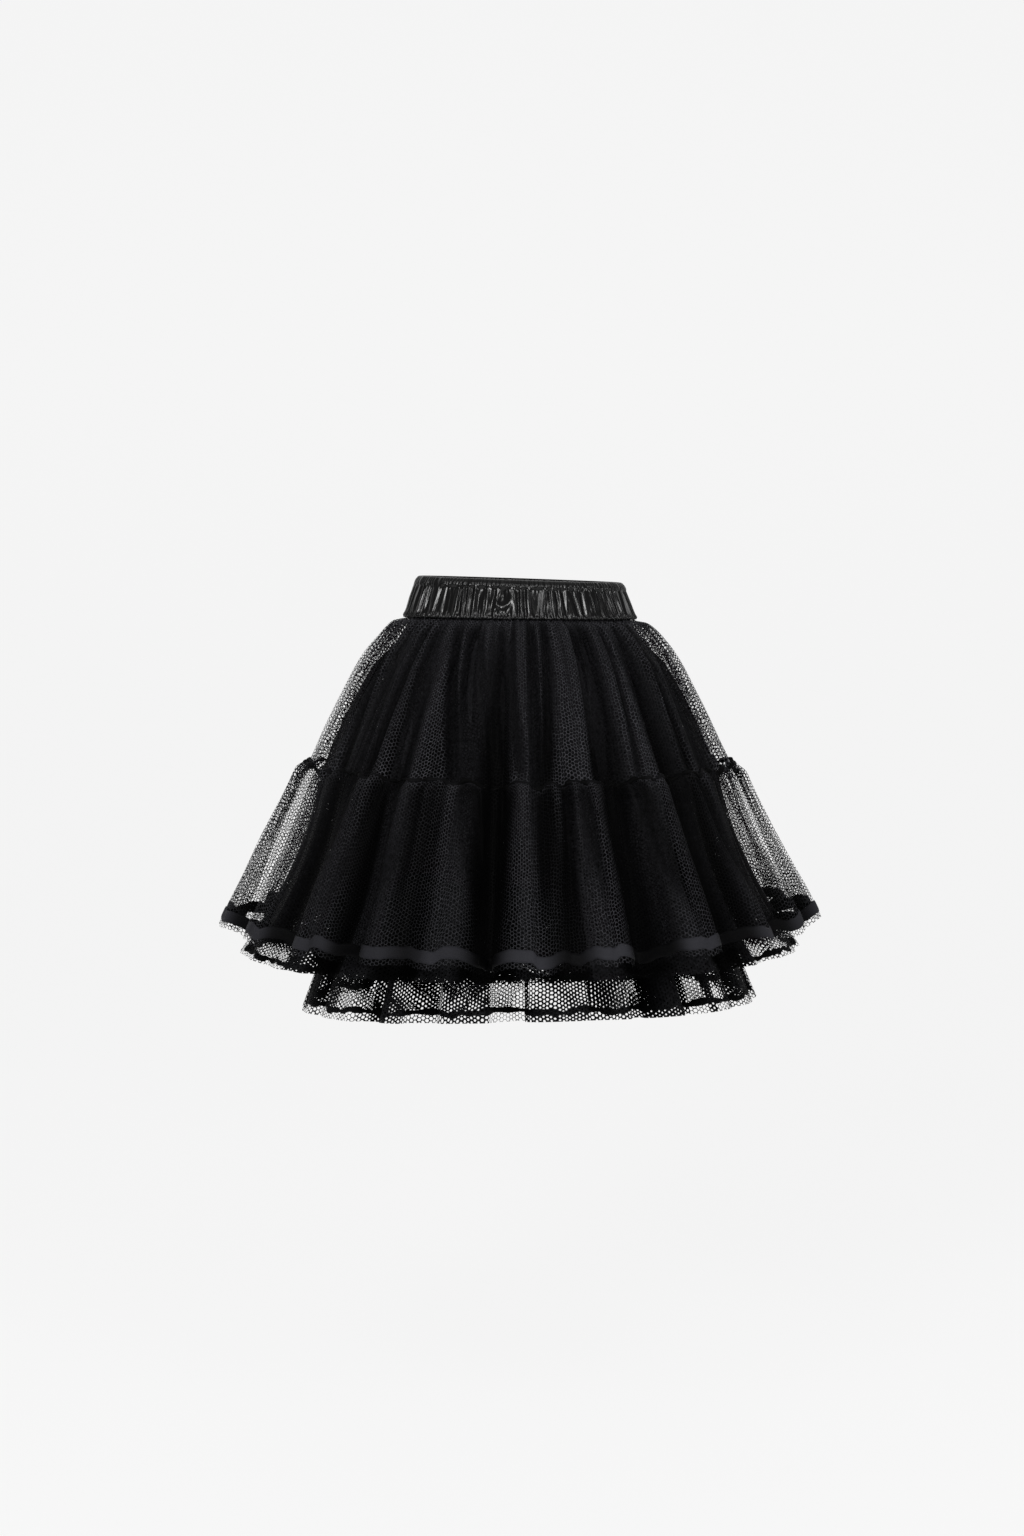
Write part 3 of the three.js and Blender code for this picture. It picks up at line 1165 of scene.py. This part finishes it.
    def header_face(self, angle: np.ndarray, down: np.ndarray) -> tuple[np.ndarray, np.ndarray]:
        """The narrow header above the stitching: it leans out to its stitch line and is finely frilled.

        Args:
            angle: angles in radians.
            down: distances below the top edge, as a column.

        Returns:
            How far it stands out, in millimetres, and its frill from 0 to 1.
        """
        share = 1 - smoothstep(down, self.header - 1, self.header + 6)
        bend = 1.3 * np.sin(17 * angle) + 0.9 * np.sin(33 * angle + 1)
        frill = np.abs(np.cos(self.frills_round * angle / 2 + bend))
        lean = self.header_lean - self.header_flare * np.maximum(1 - down / self.header, 0)
        return share * (lean + self.frill_height * frill), frill

    def face(self) -> np.ndarray:
        """The outside: the wall, drawn in at both stitch lines, with its creases swelling between them.

        Returns:
            Rows of rings of points, from the top down.
        """
        down = self.height * np.linspace(0, 1, self.face_rows)[:, None] ** self.face_crowding
        angle = np.broadcast_to(ring_angles(self.columns), (self.face_rows, self.columns))
        casing = smoothstep(down, self.header, self.header + 8)
        casing = casing * (1 - smoothstep(down, self.height - 4, self.height))
        swell = casing * (self.relief * (self.creases(angle, down) - self.sunk) + self.knot(angle, down))
        header, frill = self.header_face(angle, down)
        groove = np.exp(-(((down - self.header) / self.groove_breadth) ** 2))
        puckers = self.puckers(angle, down)
        outward = self.wall + self.fullness - self.taper * down / self.height + swell + header
        outward = outward - self.groove_depth * groove + self.pucker_height * puckers
        outward = outward - self.top_round * (1 - smoothstep(down, 0, 1))
        rings = self.ring(down, outward)
        rings[0, :, 2] += self.top_rise[0] * frill[0] + self.top_rise[1]
        rings[-1, :, 2] -= self.lower_waver * puckers[-1]
        return rings

    def lining_face(self) -> np.ndarray:
        """The plain inside, from the lower edge up."""
        down = self.height * np.linspace(1, 0, self.lining_rows)[:, None]
        return self.ring(down, np.zeros((self.lining_rows, self.columns)))

    def build(self) -> bpy.types.Object:
        """Builds the band as one closed wall in satin.

        Returns:
            The waistband's object.
        """
        points = np.concatenate([self.face(), self.lining_face()])
        down = -points[..., 2]
        # Here lit only marks the casing, 1, apart from the header, 0, and sets the satin's roughness: no
        # shade is painted on the band.
        lit = smoothstep(down, self.header - 0.5, self.header + 1.5)
        band = Surface("waistband_satin", points, Ends.CLOSED, 0, lit=lit).build(SATIN.material(), "satin")
        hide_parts("waistband")
        return band


@dataclass
class OuterLayer:
    """The fine outer tulle in two tiers, with the gathered seam between them and the ribbon."""

    columns: int = 1296
    ribbon_top: float = 194
    ribbon_bottom: float = 208
    ribbon_rings: int = 6
    ribbon_wall: float = 0.7
    ribbon_edge: float = 0.35
    ribbon_gap: float = 0.5
    ribbon_back: float = 0.35
    seam_radius: float = 1.7
    seam_corners: int = 8
    seam_breadth: float = 1.5
    seam_gathers: int = 88
    seam_fine_gathers: int = 151
    upper_thread: float = 0.17
    lower_thread: float = 0.185
    waist_crowding: float = 0.12
    seam_crowding: float = 0.06
    lower_crowding: float = 0.1

    def upper(self) -> Drape:
        """How the upper tier hangs.

        Returns:
            Its drape.
        """
        return Drape(
            sections=UPPER_SECTIONS,
            folds=OUTER_FOLDS,
            waves=(
                Waves(58, 4.2, 3, 22, 70, 200, 0.8, seed=11),
                Waves(101, 2.2, 1, 8, 26, 90, 0.9, seed=12),
                Waves(31, 3.0, 20, 90, 170, 222, 1.2, seed=13),
                Waves(self.seam_gathers, 2.0, 170, 212, 218, 240, 0.9, seed=14),
            ),
            columns=self.columns,
            rows=56,
            front_extra=0.012,
            corner_lift=0.012,
            swing=0,
            creases=all_round(FRONT_UPPER_CREASES, SIDE_UPPER_CREASES),
            crease_run=(2, 45, 190, 250),
            pinch=(0, 0.12),
            pinch_run=(60, 220),
        )

    def lower(self) -> Drape:
        """How the lower tier hangs.

        Returns:
            Its drape.
        """
        return Drape(
            sections=LOWER_SECTIONS,
            folds=OUTER_FOLDS,
            waves=(
                Waves(self.seam_gathers, 4.0, 0, 7, 30, 120, 1.1, seed=14),
                Waves(51, 4.6, 3, 22, 60, 170, 1.3, seed=15),
                Waves(29, 3.2, 50, 120, 300, 400, 1.3, seed=16),
            ),
            columns=self.columns,
            rows=66,
            front_extra=0.012,
            corner_lift=0.012,
            swing=0,
            creases=all_round(FRONT_LOWER_CREASES, SIDE_LOWER_CREASES),
            crease_run=(0, 12, 70, 190),
            shadow_depth=6.5,
            pinch=(0.12, 0.25),
            pinch_run=(0, 215),
        )

    def ribbon(self, tier: np.ndarray, lit: np.ndarray, downs: np.ndarray) -> tuple[np.ndarray, np.ndarray]:
        """The ribbon's closed wall: rings between its two edges on the tier, moved out along the normals.

        Args:
            tier: the lower tier's points.
            lit: how lit they are.
            downs: the distances of its rows down the cloth.

        Returns:
            Rows of rings round the ribbon's profile, and how lit they are.
        """
        normals = outward_normals(tier)
        places = np.linspace(self.ribbon_top, self.ribbon_bottom, self.ribbon_rings)
        place = np.interp(places, downs[:, 0], np.arange(len(downs)))
        low = np.minimum(place.astype(int), len(downs) - 2)
        share = (place - low)[:, None, None]
        centre = (1 - share) * tier[low] + share * tier[low + 1]
        normal = (1 - share) * normals[low] + share * normals[low + 1]
        wall = np.full((self.ribbon_rings, 1, 1), self.ribbon_wall)
        wall[[0, -1]] *= self.ribbon_edge
        outside = centre + (self.ribbon_gap + wall) * normal
        inside = centre[::-1] + self.ribbon_back * normal[::-1]
        points = np.concatenate([outside, inside])
        return points, np.broadcast_to(lit[low[0]], points.shape[:2])

    def seam(self, tier: np.ndarray) -> np.ndarray:
        """The gathered seam: a narrow roll along the lower tier's top edge that swells with each gather.

        Args:
            tier: the lower tier's points.

        Returns:
            Rows of rings round the roll's profile.
        """
        angle = ring_angles(self.columns)
        ring = tier[1]
        out = outward_normals(tier)[1]
        across = tier[0] - tier[3]
        across /= np.linalg.norm(across, axis=-1, keepdims=True)
        swell = 1 + 0.35 * np.sin(self.seam_gathers * angle + 1.2 * np.sin(7 * angle))
        swell = swell + 0.2 * np.sin(self.seam_fine_gathers * angle + 2)
        profile = round_profile(self.seam_radius, self.seam_corners)[:, :, None] * swell
        profile[:, 0] *= self.seam_breadth
        return strip_along(ring, across, out, profile)

    def build(self) -> None:
        """Builds both tiers, the seam and the ribbon."""
        upper = self.upper()
        upper_points, lit = upper.hang(LAYER_TOP)
        gathered = self.waist_crowding * (1 - smoothstep(upper.downs(), 0, 60))
        gathered = gathered + self.seam_crowding * smoothstep(upper.downs(), 200, 220)
        top = Surface("outer_upper_net", upper_points, Ends.OPEN, -1, self.upper_thread + gathered, lit)
        top = top.build(UPPER_NET.material(), "outer_net")
        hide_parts("outer_upper_tier")
        lower = self.lower()
        lower_points, lit = lower.hang(upper_points[-1, :, 2] + SEAM_LAP)
        gathered = self.lower_crowding * (1 - smoothstep(lower.downs(), 0, 40))
        skirt = Surface("outer_lower_net", lower_points, Ends.OPEN, -1, self.lower_thread + gathered, lit)
        skirt = skirt.build(LOWER_NET.material(), "outer_net")
        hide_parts("outer_lower_tier")
        # The seam roll and the ribbon carry the lower tier's painted shade in lit.
        seam = Surface("outer_seam_roll", self.seam(lower_points), Ends.CLOSED, 0, lit=lit[4])
        seam = seam.build(ROLL.material(), "outer_net")
        ribbon, lit = self.ribbon(lower_points, lit, lower.downs())
        ribbon = Surface("hem_ribbon_cloth", ribbon, Ends.CLOSED, 0, lit=lit)
        ribbon = ribbon.build(RIBBON.material(), "ribbon")
        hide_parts("hem_ribbon")


@dataclass
class UnderLayer:
    """One under layer: a long ply of hexagonal net and a shorter one, whose hem line shows through it."""

    name: str
    node: str
    sections: tuple[Section, ...]
    folds: tuple[Fold, ...]
    waves: tuple[Waves, ...]
    swing: float
    flat: tuple[float, float]
    strip: float
    flaps: tuple[Stretch, ...]
    tucks: tuple[Tuck, ...]
    crowded_until: float
    short_waves: tuple[Waves, ...]
    crowded_fade: float = 28
    crowded_thread: float = 0.66
    unevenness: float = 0.8
    columns: int = 960
    tuck_reach: tuple[float, float] = (190, 40)
    hem_line: float = 1.0
    hem_corners: int = 6
    hem_breadth: float = 3.2

    def long_ply(self) -> Drape:
        """How the long ply hangs.

        Returns:
            Its drape.
        """
        bottom = self.sections[-1].down
        return Drape(
            sections=self.sections,
            folds=self.folds,
            waves=self.waves,
            columns=self.columns,
            rows=56,
            front_extra=-0.045,
            corner_lift=0,
            swing=self.swing,
            tucks=self.tucks,
            tuck_run=(bottom - self.tuck_reach[0], bottom - self.tuck_reach[1]),
        )

    def short_ply(self) -> Drape:
        """How the short ply hangs: inside the long one, with its own waves, trimmed by the strip.

        Returns:
            Its drape.
        """
        return replace(
            self.long_ply(),
            waves=self.short_waves,
            rows=48,
            inset=2.5,
            inset_top=0.7,
            trimmed=self.strip,
        )

    def threads(self, drape: Drape, kept: str, seed: int) -> np.ndarray:
        """Thread width over the grid: each flap's own near the hem, and that of the crowded net above.

        Args:
            drape: the ply.
            kept: the name of the flaps' column for this ply.
            seed: picks the soft patches.

        Returns:
            One share of the cell for each row and column.
        """
        down = drape.downs()
        angle = ring_angles(drape.columns)[None, :]
        degrees = (np.degrees(angle) + 180) % 360 - 180
        flap = np.zeros_like(degrees)
        for stretch in self.flaps:
            inside = (degrees >= stretch.start) & (degrees < stretch.end)
            flap = np.where(inside, getattr(stretch, kept), flap)
        flap = flap * (1 + self.unevenness * (1 - flap) * mottle(angle, down, seed))
        crowd = 1 - smoothstep(down, self.crowded_until - self.crowded_fade, self.crowded_until)
        return flap + np.maximum(self.crowded_thread - flap, 0) * crowd

    def hem(self, ply: np.ndarray) -> np.ndarray:
        """The short ply's hem line: a flat roll along its lower edge that wavers in height and breadth.

        Args:
            ply: the short ply's points.

        Returns:
            Rows of rings round the roll's profile.
        """
        angle = ring_angles(self.columns)
        out = outward_normals(ply)[-1]
        up = ply[-2] - ply[-1]
        up /= np.linalg.norm(up, axis=-1, keepdims=True)
        bend = np.sin(11 * angle + self.swing)
        uneven = 1 + 0.45 * np.sin(63 * angle + 1.5 * bend) * np.sin(29 * angle + 1)
        waver = 1.6 * np.sin(17 * angle + bend + self.swing) + 0.9 * np.sin(41 * angle + 2 * bend)
        profile = round_profile(self.hem_line, self.hem_corners)[:, :, None] * uneven
        profile[:, 0] *= self.hem_breadth
        profile[:, 0] += waver
        return strip_along(ply[-1], up, out, profile)

    def build(self) -> None:
        """Builds the two plies and the hem line."""
        net = UNDER_NET.material()
        long_drape = self.long_ply()
        short_drape = self.short_ply()
        points, lit = long_drape.hang(LAYER_TOP)
        thread = self.threads(long_drape, "long_thread", seed=51)
        long_net = Surface(f"{self.name}_long_net", points, Ends.OPEN, -1, thread, lit)
        long_net = long_net.build(net, "under_net")
        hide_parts(self.node)
        points, lit = short_drape.hang(LAYER_TOP)
        thread = self.threads(short_drape, "short_thread", seed=52)
        short_net = Surface(f"{self.name}_short_net", points, Ends.OPEN, -1, thread, lit)
        short_net = short_net.build(net, "under_net")
        line = Surface(f"{self.name}_hem_line", self.hem(points), Ends.CLOSED, 0, lit=lit[-1])
        line = line.build(ROLL.material(), "under_net")


def middle_layer() -> UnderLayer:
    """The middle layer, which shows at the sides below the ribbon.

    Returns:
        The layer, not yet built.
    """
    return UnderLayer(
        name="middle",
        node="middle_layer",
        sections=MIDDLE_SECTIONS,
        folds=MIDDLE_FOLDS,
        waves=(
            Waves(46, 2.6, 30, 80, 200, 330, 1.0, seed=21),
            Waves(33, 2.4, 120, 260, 800, 900, 1.2, seed=22),
        ),
        short_waves=(Waves(41, 1.8, 40, 120, 800, 900, 1.1, seed=23),),
        swing=0,
        flat=(1.68, 0.45),
        strip=8,
        flaps=MIDDLE_FLAPS,
        tucks=MIDDLE_TUCKS,
        crowded_until=434,
    )


def inner_layer() -> UnderLayer:
    """The inner layer, the longest and narrowest.

    Returns:
        The layer, not yet built.
    """
    return UnderLayer(
        name="inner",
        node="inner_layer",
        sections=INNER_SECTIONS,
        folds=INNER_FOLDS,
        waves=(
            Waves(43, 2.2, 40, 120, 300, 420, 1.0, seed=31),
            Waves(29, 2.0, 150, 300, 800, 900, 1.2, seed=32),
        ),
        short_waves=(Waves(37, 1.8, 40, 150, 800, 900, 1.1, seed=33),),
        swing=10,
        flat=(1.5, 0.484),
        strip=12,
        flaps=INNER_FLAPS,
        tucks=INNER_TUCKS,
        crowded_until=445,
    )


@dataclass
class Studio:
    """The pale sweep, the soft lights and the camera at the photo's angle."""

    floor_drop: float = 1.05
    sweep_radius: float = 1.6
    sweep_back: float = 2.6
    sweep_front: float = -7.0
    sweep_half_width: float = 8.0
    sweep_top: float = 6.0
    sweep_steps: int = 24
    paleness: float = 0.1
    glow: float = 0.84
    surroundings: float = 0.22
    aim: tuple[float, float, float] = (0, 0, -0.2)
    camera_place: tuple[float, float, float] = (-0.0094, -3.0, 0.0337)
    camera_pitch: float = 4.86
    lens: float = 60.1
    lights: tuple[tuple[str, tuple[float, float, float], float, float], ...] = (
        ("key softbox", (-1.3, -3.3, 1.3), 0.9, 60.0),
        ("fill softbox", (2.4, -2.4, 0.8), 0.9, 34.0),
        ("top softbox", (0.0, 0.3, 2.6), 1.6, 7.0),
        ("high softbox on the left", (-0.8, -2.5, 2.3), 0.9, 26.0),
        ("high softbox on the right", (0.9, -2.5, 2.3), 0.9, 22.0),
    )

    def sweep(self) -> bpy.types.Object:
        """The floor that curves up into a wall: two straights and a quarter round, carried along X.

        Returns:
            The sweep's object.
        """
        turn = np.linspace(0, math.pi / 2, self.sweep_steps)
        y = np.concatenate([[self.sweep_front], self.sweep_back + self.sweep_radius * np.sin(turn)])
        z = np.concatenate([[0], self.sweep_radius * (1 - np.cos(turn))]) - self.floor_drop
        y = np.append(y, y[-1])
        z = np.append(z, self.sweep_top)
        left = np.stack([np.full_like(y, -self.sweep_half_width), y, z], axis=-1)
        points = np.concatenate([left, left * (-1, 1, 1)])
        low = np.arange(len(y) - 1)
        quads = np.stack([low, low + len(y), low + len(y) + 1, low + 1], axis=-1)
        mesh = bpy.data.meshes.new("studio_sweep")
        mesh.from_pydata(points, [], quads)
        mesh.polygons.foreach_set("use_smooth", np.ones(len(quads), bool))
        graph = Graph("pale sweep")
        material = graph.finish(
            graph.node("ShaderNodeBsdfPrincipled"),
            Base_Color=(self.paleness, self.paleness, self.paleness, 1.0),
            Roughness=0.9,
            Specular_IOR_Level=0.0,
            Emission_Color=(1.0, 1.0, 1.0, 1.0),
            Emission_Strength=self.glow,
        )
        mesh.materials.append(material)
        obj = bpy.data.objects.new("studio_sweep", mesh)
        bpy.context.collection.objects.link(obj)
        return obj

    def light(self) -> None:
        """Even white surroundings and the softboxes, each turned to the skirt's middle."""
        world = bpy.data.worlds.new("even white")
        bpy.context.scene.world = world
        world.use_nodes = True
        world.node_tree.nodes["Background"].inputs["Color"].default_value = (1, 1, 1, 1)
        world.node_tree.nodes["Background"].inputs["Strength"].default_value = self.surroundings
        for name, place, size, power in self.lights:
            data = bpy.data.lights.new(name, "AREA")
            data.shape = "DISK"
            data.size = size
            data.energy = power
            lamp = bpy.data.objects.new(name, data)
            lamp.location = place
            away = np.array(place) - np.array(self.aim)
            flat = math.hypot(away[0], away[1])
            lamp.rotation_euler = (math.atan2(flat, away[2]), 0, math.atan2(away[1], away[0]) + math.pi / 2)
            bpy.context.collection.objects.link(lamp)

    def camera(self) -> None:
        """The camera, level across and tilted down to the skirt."""
        data = bpy.data.cameras.new("camera")
        data.sensor_width = 36
        data.lens = self.lens
        data.clip_end = 100
        camera = bpy.data.objects.new("camera", data)
        camera.location = self.camera_place
        camera.rotation_euler = (math.radians(90 - self.camera_pitch), 0, 0)
        bpy.context.collection.objects.link(camera)
        bpy.context.scene.camera = camera

    def build(self) -> None:
        """Sets the stage."""
        self.camera()
        self.sweep()
        self.light()
        scene = bpy.context.scene
        scene.view_settings.view_transform = "Standard"
        scene.cycles.transparent_max_bounces = 48
        scene.cycles.max_bounces = 6


def corners(box: tuple) -> list[list[float]]:
    """A box's two corners as plain lists."""
    return [[float(value) for value in corner] for corner in box]


def main() -> None:
    """Builds the studio and every piece in order."""
    logging.basicConfig(level=logging.INFO, format="%(name)s: %(message)s")
    Studio().build()
    LOG.info("studio ready")
    Waistband().build()
    OuterLayer().build()
    middle_layer().build()
    inner_layer().build()


if __name__ == "__main__":
    main()
